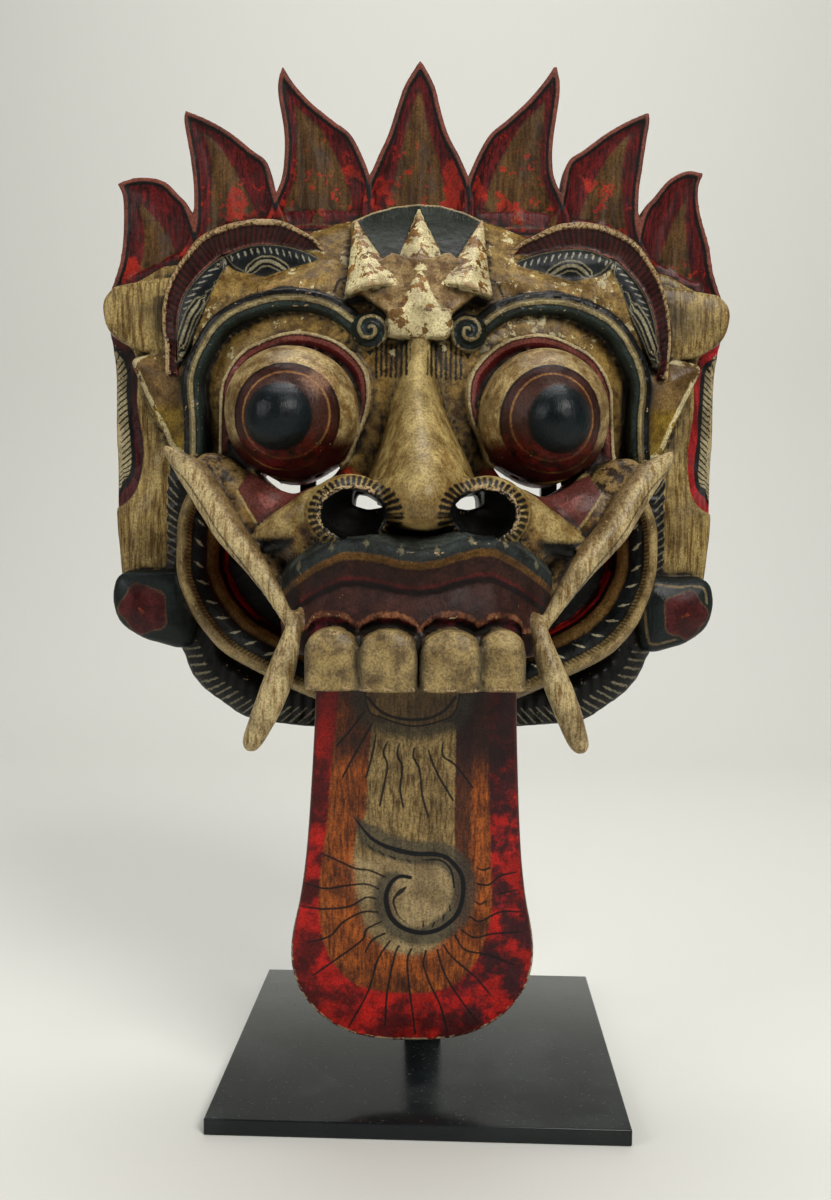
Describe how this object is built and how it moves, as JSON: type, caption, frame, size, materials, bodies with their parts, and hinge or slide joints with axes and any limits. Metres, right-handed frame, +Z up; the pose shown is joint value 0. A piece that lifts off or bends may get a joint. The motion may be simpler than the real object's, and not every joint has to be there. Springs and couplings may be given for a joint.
{
  "type": "carved dragon mask on a stand",
  "caption": "Carved and painted wooden dragon mask with a flame crown, bulging eyes, tusks and a long tongue, hung on a black steel stand.",
  "frame": {"origin": "on the table, at the centre of the plate's underside", "axes": "+X to the viewer's right, +Y away from the viewer, so the mask looks towards -Y, and +Z up"},
  "size_m": [0.3234, 0.2315, 0.527],
  "materials": {
    "painted_wood": "hand-painted over pale primer, aged, waxed and chipped",
    "painted_tongue": "hand-painted red, orange and cream with ink lines, worn edges",
    "black_steel": "semi-gloss black lacquer"
  },
  "bodies": {
    "root": {"mask": "painted_wood", "tongue": "painted_tongue", "stand_fork": "black_steel", "stand_plate": "black_steel"}
  },
  "joints": []
}
